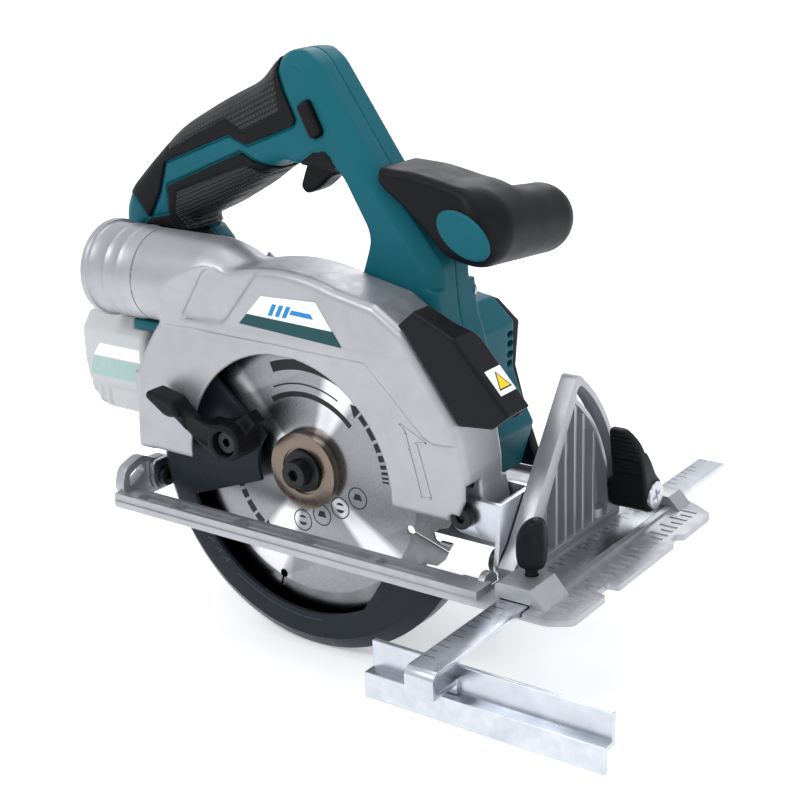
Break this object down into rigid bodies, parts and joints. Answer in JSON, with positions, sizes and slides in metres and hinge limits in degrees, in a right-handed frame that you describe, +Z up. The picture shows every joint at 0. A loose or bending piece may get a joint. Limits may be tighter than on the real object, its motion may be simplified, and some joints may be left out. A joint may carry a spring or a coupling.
{
  "type": "cordless circular saw",
  "caption": "Compact cordless circular saw with a sprung lower blade guard, bevelling die-cast base, depth adjustment, auxiliary front grip and sliding edge guide.",
  "frame": {"origin": "middle of the sole of the base", "axes": "+X forward along the cut, +Y from the blade towards the motor, +Z up"},
  "size_m": [0.342, 0.261, 0.277],
  "materials": {
    "cast": "satin, fine cast texture",
    "zinc_plate": "bright zinc plating",
    "steel_part": "machined",
    "blade_steel": "radially brushed",
    "carbide": "ground",
    "flange_bronze": "turned",
    "black_screw": "black oxide",
    "teal_shell": "fine moulded texture",
    "black_moulded": "moulded",
    "grip_rubber": "knurled soft overmould",
    "motor_cap": "moulded",
    "guard_blue": "moulded, fine lines",
    "label_film": "printed film",
    "lens": "clear",
    "copper_stack": "wound stack",
    "board": "circuit board",
    "pack_shell": "moulded",
    "pack_button": "moulded"
  },
  "bodies": {
    "base": {"base_plate": "cast", "bevel_quadrant": "cast", "quadrant_screws": "steel_part", "bevel_pivot_bolts": "black_screw"},
    "carriage": {"front_bevel_bracket": "zinc_plate", "depth_pivot_screw": "black_screw", "bevel_clamp_bolt": "steel_part"},
    "rear_bracket": {"rear_bevel_bracket": "zinc_plate", "depth_guide": "zinc_plate"},
    "bevel_clamp": {"bevel_lever": "black_moulded", "bevel_lever_screw": "zinc_plate"},
    "head": {"upper_guard": "cast", "dust_nozzle": "cast", "gear_case": "cast", "motor_housing": "teal_shell", "motor_end_cap": "motor_cap", "stator": "copper_stack", "motor_bearings": "steel_part", "arbor_bearings": "steel_part", "handle_shell_right": "teal_shell", "handle_shell_left": "teal_shell", "grip_overmould": "grip_rubber", "front_grip": "black_moulded", "front_grip_cap": "teal_shell", "light_cover": "black_moulded", "light_module": "motor_cap", "light_lens": "lens", "guard_label": "label_film", "warning_sticker": "label_film", "nameplate": "label_film", "housing_screws": "steel_part", "battery_mount": "teal_shell", "battery_terminals": "motor_cap", "control_board": "board", "switch_body": "motor_cap", "guard_spring": "steel_part", "depth_clamp_bolt": "steel_part"},
    "arbor": {"spindle": "steel_part", "inner_flange": "steel_part", "blade": "blade_steel", "blade_tips": "carbide", "outer_flange": "flange_bronze", "blade_bolt": "black_screw", "output_gear": "steel_part"},
    "rotor": {"motor_rotor": "steel_part", "cooling_fan": "motor_cap"},
    "blade_guard": {"lower_guard": "guard_blue", "guard_lever": "black_moulded", "guard_lever_screw": "black_screw"},
    "trigger": {"trigger": "black_moulded"},
    "lock_off": {"lock_off_button": "black_moulded"},
    "spindle_lock": {"spindle_lock": "black_moulded"},
    "battery": {"battery_pack": "pack_shell"},
    "battery_latch": {"battery_latch": "pack_button"},
    "depth_clamp": {"depth_lever": "black_moulded"},
    "guide_clamp": {"guide_screw": "black_moulded"},
    "guide": {"guide_bar": "zinc_plate", "guide_fence": "zinc_plate"}
  },
  "joints": [
    {"name": "bevel_tilt", "type": "hinge", "parent": "base", "child": "carriage", "pos_m": [0.08, -0.042, 0.008], "axis": [1, 0, 0], "range_deg": [0, 45]},
    {"name": "rear_bevel_tilt", "type": "hinge", "parent": "base", "child": "rear_bracket", "pos_m": [-0.12, -0.042, 0.008], "axis": [1, 0, 0], "range_deg": [0, 45]},
    {"name": "bevel_clamp_turn", "type": "hinge", "parent": "carriage", "child": "bevel_clamp", "pos_m": [0.1, 0.0379, 0.0178], "axis": [1, 0, 0], "range_deg": [-60, 0]},
    {"name": "depth_tilt", "type": "hinge", "parent": "carriage", "child": "head", "pos_m": [0.0634, -0.033, 0.028], "axis": [0, 1, 0], "range_deg": [0, 31]},
    {"name": "arbor_spin", "type": "hinge", "parent": "head", "child": "arbor", "pos_m": [-0.028, -0.04, 0.029], "axis": [0, 1, 0], "continuous": true},
    {"name": "rotor_spin", "type": "hinge", "parent": "head", "child": "rotor", "pos_m": [-0.014, 0, 0.056], "axis": [0, 1, 0], "continuous": true},
    {"name": "guard_swing", "type": "hinge", "parent": "head", "child": "blade_guard", "pos_m": [-0.028, -0.04, 0.029], "axis": [0, 1, 0], "range_deg": [0, 100], "stiffness_Nm_per_rad": 0.08, "springref_deg": -51.57},
    {"name": "trigger_pull", "type": "hinge", "parent": "head", "child": "trigger", "pos_m": [-0.028, -0.008, 0.1732], "axis": [0, 1, 0], "range_deg": [0, 8], "stiffness_Nm_per_rad": 0.4, "springref_deg": -5.73},
    {"name": "lock_off_press", "type": "slide", "parent": "head", "child": "lock_off", "axis": [0, 1, 0], "range_m": [-0.003, 0.003], "stiffness_N_per_m": 200},
    {"name": "spindle_lock_press", "type": "slide", "parent": "head", "child": "spindle_lock", "axis": [1, 0, 0], "range_m": [0, 0.004], "stiffness_N_per_m": 200, "springref_m": -0.002},
    {"name": "battery_slide", "type": "slide", "parent": "head", "child": "battery", "axis": [-1, 0, 0], "range_m": [0, 0.08]},
    {"name": "battery_latch_press", "type": "slide", "parent": "battery", "child": "battery_latch", "axis": [1, 0, 0], "range_m": [0, 0.003], "stiffness_N_per_m": 200, "springref_m": -0.002},
    {"name": "depth_clamp_turn", "type": "hinge", "parent": "head", "child": "depth_clamp", "pos_m": [-0.0864, -0.013, 0.036], "axis": [0, 1, 0], "range_deg": [0, 35]},
    {"name": "guide_clamp_turn", "type": "hinge", "parent": "base", "child": "guide_clamp", "pos_m": [0.0994, -0.052, 0.02], "axis": [0, 0, 1], "range_deg": [0, 360]},
    {"name": "guide_slide", "type": "slide", "parent": "base", "child": "guide", "axis": [0, 1, 0], "range_m": [-0.06, 0.04]}
  ],
  "couplings": [
    {"joint": "rear_bevel_tilt", "follows": "bevel_tilt", "ratio": 1},
    {"joint": "rotor_spin", "follows": "arbor_spin", "ratio": -4.8889}
  ]
}
